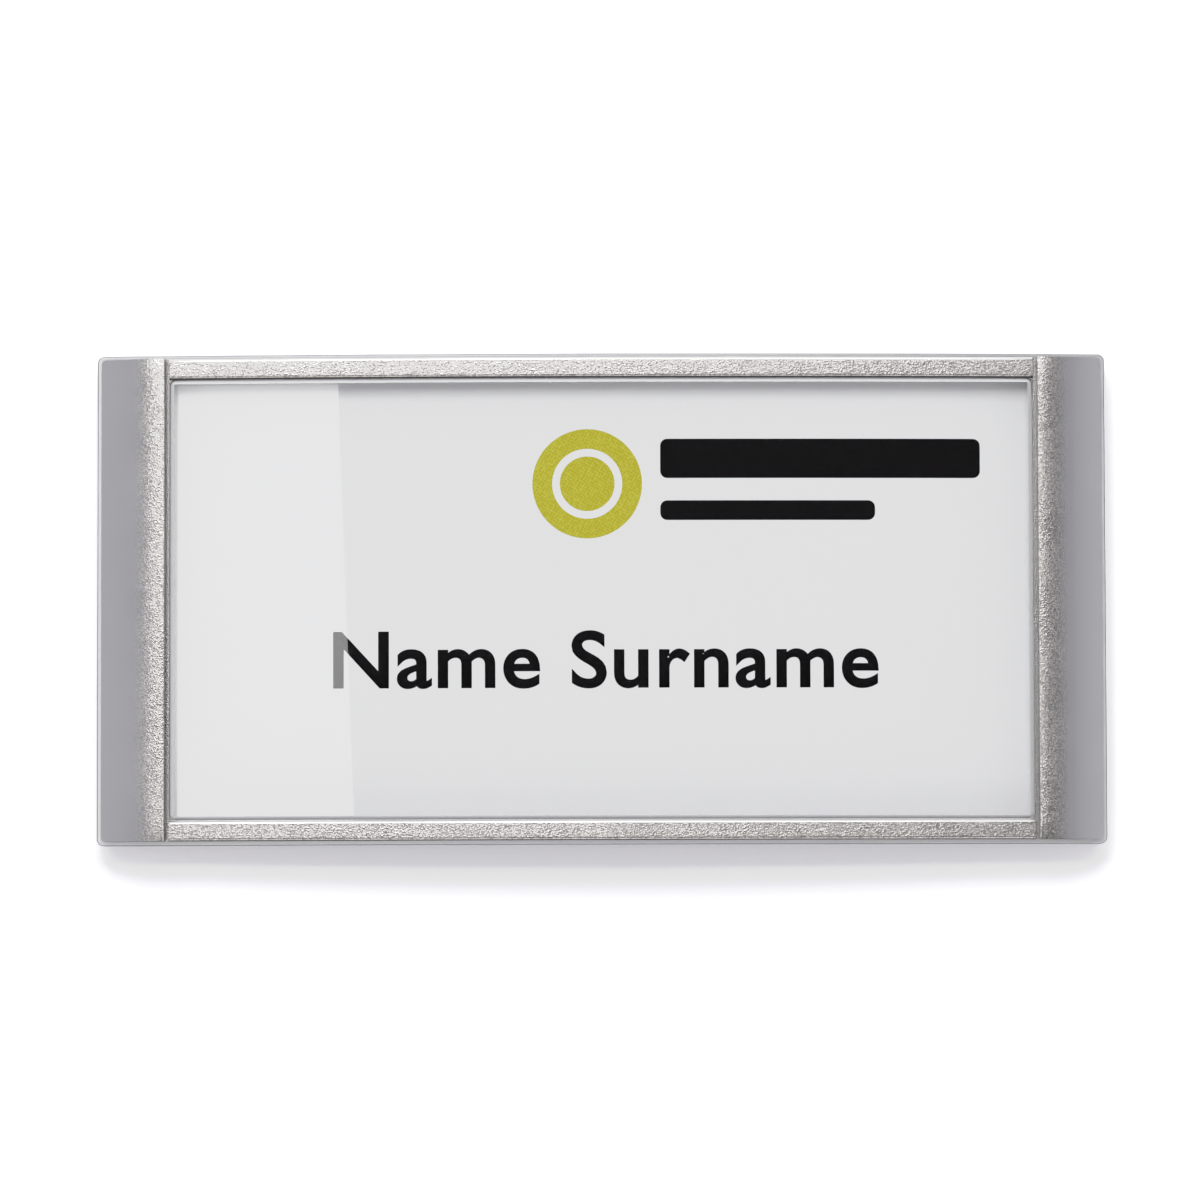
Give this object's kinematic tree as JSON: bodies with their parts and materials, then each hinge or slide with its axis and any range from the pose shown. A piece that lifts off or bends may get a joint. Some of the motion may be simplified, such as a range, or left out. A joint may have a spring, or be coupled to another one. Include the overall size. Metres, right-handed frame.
{
  "type": "name badge",
  "caption": "Rigid name badge, slightly arched, with raised silver end bands, slim rails, a clear window over a printed card, and a flat bar on the back.",
  "frame": {"origin": "centre of the box's underside: the middle of the bar's flat face, which lies on the surface", "axes": "+X along the badge's width to the wearer's left as the card is read, +Y towards its upper edge, +Z out of the face"},
  "size_m": [0.072, 0.035, 0.0057],
  "materials": {
    "silver_grain": "silver metallic with a fine raised grain",
    "clear_window": "clear polished plastic",
    "white_card": "printed matt card",
    "silver_smooth": "smooth silver-grey satin",
    "plated_steel": "fine brushed plating",
    "dark_print": "black printer's ink on the card",
    "lime_print": "yellow-green printer's ink on the card"
  },
  "bodies": {
    "root": {"front_frame": "silver_grain", "window": "clear_window", "insert_card": "white_card", "back_tray": "silver_smooth", "magnet_bar": "plated_steel"}
  },
  "joints": []
}
